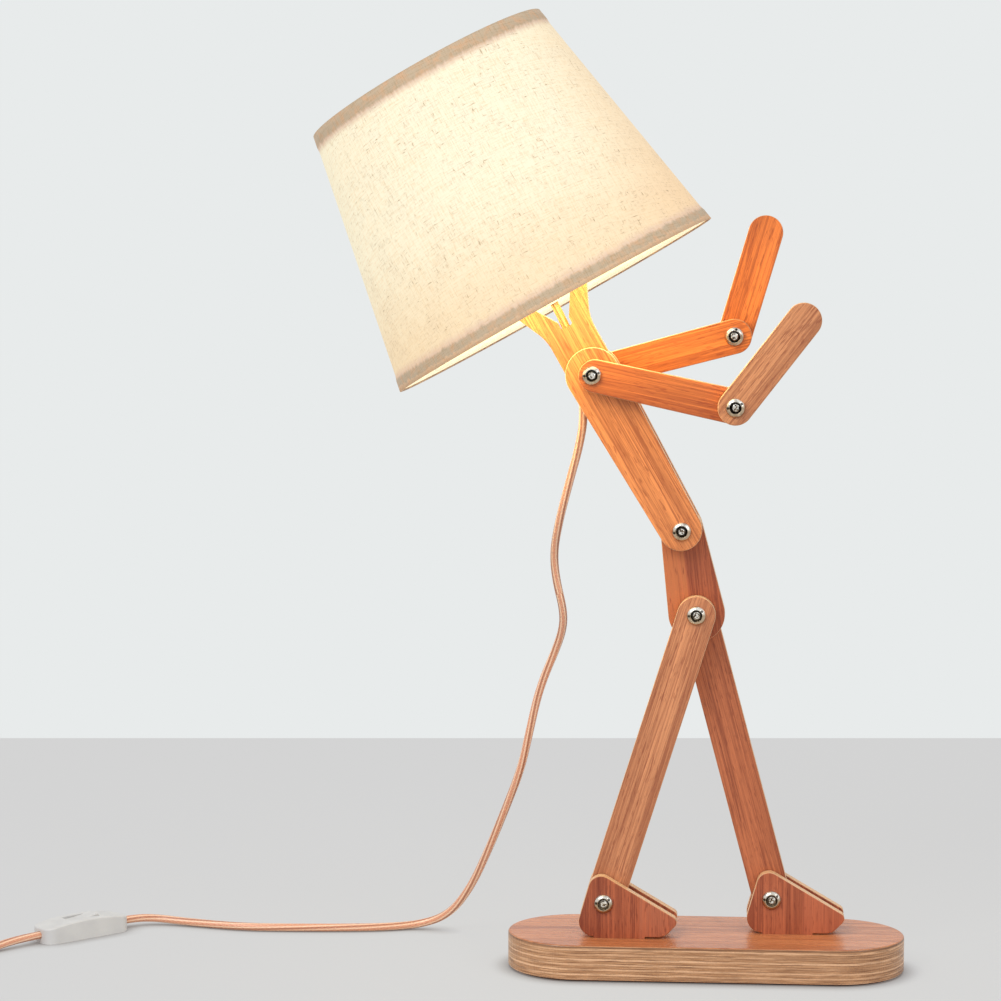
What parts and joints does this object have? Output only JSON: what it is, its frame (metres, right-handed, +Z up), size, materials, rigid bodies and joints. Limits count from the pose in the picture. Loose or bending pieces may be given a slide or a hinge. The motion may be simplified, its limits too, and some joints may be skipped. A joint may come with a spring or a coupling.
{
  "type": "desk lamp",
  "caption": "Jointed plywood figure desk lamp striding on an oblong base, with a tapered fabric shade for a head, a textile lead and an inline switch.",
  "frame": {"origin": "centre of the base's underside, on the table", "axes": "+X along the base, towards the hands; +Y to the back; +Z up"},
  "size_m": [0.6585, 0.212, 0.5773],
  "materials": {
    "plywood": "satin",
    "bolt_steel": "satin",
    "zinc_steel": "satin",
    "pad": "matte",
    "wire": "satin",
    "shade_linen": "matte",
    "shade_liner": "matte",
    "holder_plastic": "satin",
    "ceramic": "satin",
    "brass": "satin",
    "bulb_glass": "satin",
    "bulb_cap": "satin",
    "cord": "matte",
    "switch_plastic": "satin",
    "pin_brass": "satin"
  },
  "bodies": {
    "root": {"base_board": "plywood", "base_pad": "pad", "near_foot_front_cheek": "plywood", "near_foot_rear_cheek": "plywood", "far_foot_front_cheek": "plywood", "far_foot_rear_cheek": "plywood", "foot_screws": "zinc_steel", "near_leg": "plywood", "far_leg": "plywood", "ankle_bolts": "bolt_steel", "ankle_nuts": "bolt_steel", "leg_washers": "bolt_steel", "hip_bolt": "bolt_steel", "hip_nut": "bolt_steel", "cord_lower": "cord", "cord_supply": "cord", "cord_coil": "cord", "switch_lower_case": "switch_plastic", "switch_upper_case": "switch_plastic", "plug_body": "switch_plastic", "plug_pins": "pin_brass"},
    "pelvis": {"pelvis_link": "plywood"},
    "torso": {"waist_bolt": "bolt_steel", "waist_nut": "bolt_steel", "near_torso_cheek": "plywood", "far_torso_cheek": "plywood", "torso_washers": "bolt_steel", "shoulder_bolt": "bolt_steel", "shoulder_nut": "bolt_steel", "cord_upper": "cord"},
    "head": {"neck_fork": "plywood", "holder_plate": "plywood", "plate_screws": "zinc_steel", "holder_nipple": "zinc_steel", "lock_nut": "zinc_steel", "cord_grip": "holder_plastic", "holder_cap": "holder_plastic", "holder_body": "holder_plastic", "holder_core": "ceramic", "holder_contacts": "brass", "shade_clamp_ring": "holder_plastic", "shade_frame": "wire", "shade_top_ring": "wire", "shade_cover": "shade_linen", "shade_liner": "shade_liner", "bulb_cap": "bulb_cap", "bulb_glass": "bulb_glass", "cord_neck": "cord"},
    "near_upper_arm": {"near_upper_arm": "plywood", "near_elbow_washer": "bolt_steel", "near_elbow_bolt": "bolt_steel", "near_elbow_nut": "bolt_steel"},
    "near_forearm": {"near_forearm": "plywood"},
    "far_upper_arm": {"far_upper_arm": "plywood", "far_elbow_washer": "bolt_steel", "far_elbow_bolt": "bolt_steel", "far_elbow_nut": "bolt_steel"},
    "far_forearm": {"far_forearm": "plywood"},
    "switch_rocker": {"switch_rocker": "switch_plastic"}
  },
  "joints": [
    {"name": "hip", "type": "hinge", "parent": "root", "child": "pelvis", "pos_m": [-0.0063, 0, 0.217], "axis": [0, -1, 0], "range_deg": [-25, 20], "deforming": ["cord_lower"]},
    {"name": "waist", "type": "hinge", "parent": "pelvis", "child": "torso", "pos_m": [-0.01538, 0, 0.26749], "axis": [0, -1, 0], "range_deg": [-45, 35], "deforming": ["cord_upper"]},
    {"name": "neck", "type": "hinge", "parent": "torso", "child": "head", "pos_m": [-0.06886, 0, 0.36086], "axis": [0, -1, 0], "range_deg": [-10, 55]},
    {"name": "near_shoulder", "type": "hinge", "parent": "torso", "child": "near_upper_arm", "pos_m": [-0.06886, 0, 0.36086], "axis": [0, -1, 0], "range_deg": [-32, 34]},
    {"name": "far_shoulder", "type": "hinge", "parent": "torso", "child": "far_upper_arm", "pos_m": [-0.06886, 0, 0.36086], "axis": [0, -1, 0], "range_deg": [-60, 12]},
    {"name": "near_elbow", "type": "hinge", "parent": "near_upper_arm", "child": "near_forearm", "pos_m": [0.01618, 0, 0.34248], "axis": [0, -1, 0], "range_deg": [-120, 90]},
    {"name": "far_elbow", "type": "hinge", "parent": "far_upper_arm", "child": "far_forearm", "pos_m": [0.01525, 0, 0.38308], "axis": [0, -1, 0], "range_deg": [-120, 20]},
    {"name": "switch_rocker_tilt", "type": "hinge", "parent": "root", "child": "switch_rocker", "pos_m": [-0.397, 0.053, 0.0094], "axis": [0.7193, -0.6947, 0], "range_deg": [0, 14]}
  ]
}
